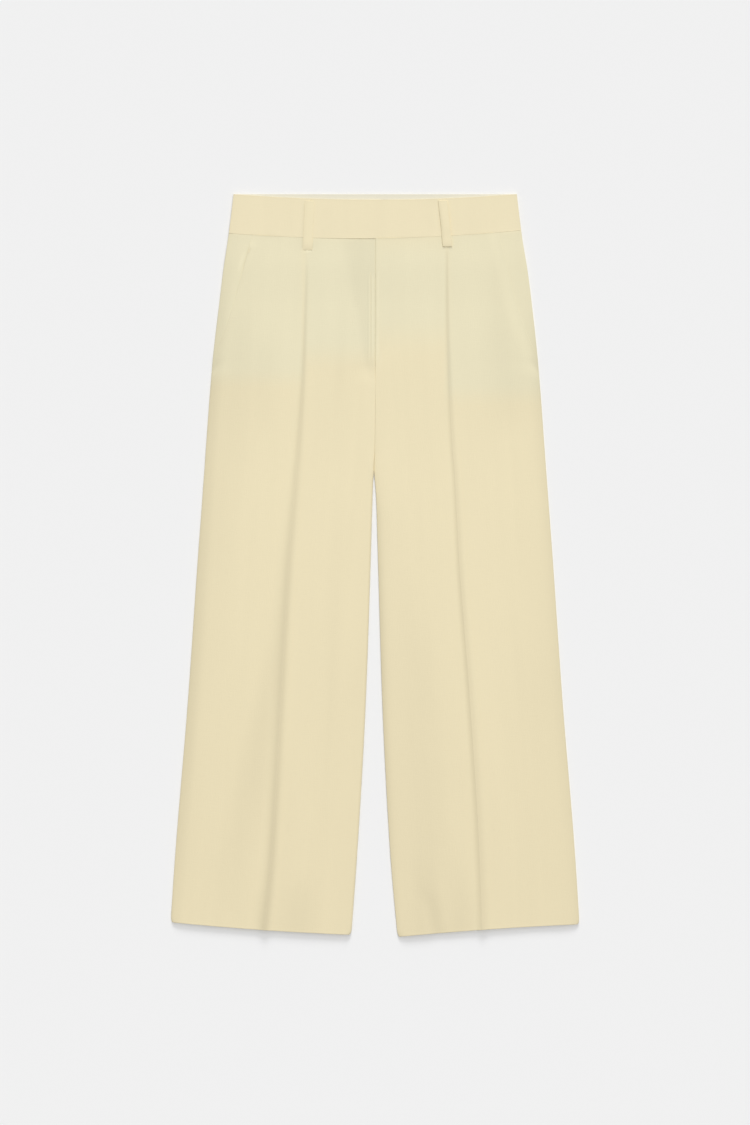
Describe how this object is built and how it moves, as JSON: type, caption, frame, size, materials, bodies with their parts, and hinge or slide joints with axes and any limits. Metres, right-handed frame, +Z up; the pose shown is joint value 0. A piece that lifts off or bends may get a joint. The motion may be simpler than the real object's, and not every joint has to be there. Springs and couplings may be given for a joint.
{
  "type": "wide-legged culottes laid flat",
  "caption": "Wide-legged culottes laid flat on their back, front up, with pressed creases, slant pockets, a closed fly and an overlapping waistband tab.",
  "frame": {"origin": "centre of the bounding box, on the surface the garment lies on", "axes": "+X to the viewer's right looking down on the front, +Y from the hems to the waist, +Z up from the surface"},
  "size_m": [0.51, 0.9286, 0.0073],
  "materials": {
    "suiting": "matte",
    "waistband_cloth": "matte",
    "zip_tape": "matte"
  },
  "bodies": {
    "root": {"back_leg_left": "suiting", "back_leg_right": "suiting", "pocket_side_left": "suiting", "pocket_side_right": "suiting", "front_leg_left": "suiting", "front_leg_right": "suiting", "fly_zip": "zip_tape", "waistband_back": "waistband_cloth", "waistband_front_left": "waistband_cloth", "waistband_front_right": "waistband_cloth", "belt_loop_front_left": "suiting", "belt_loop_front_right": "suiting", "belt_loop_back_left": "suiting", "belt_loop_back_middle": "suiting", "belt_loop_back_right": "suiting"}
  },
  "joints": []
}
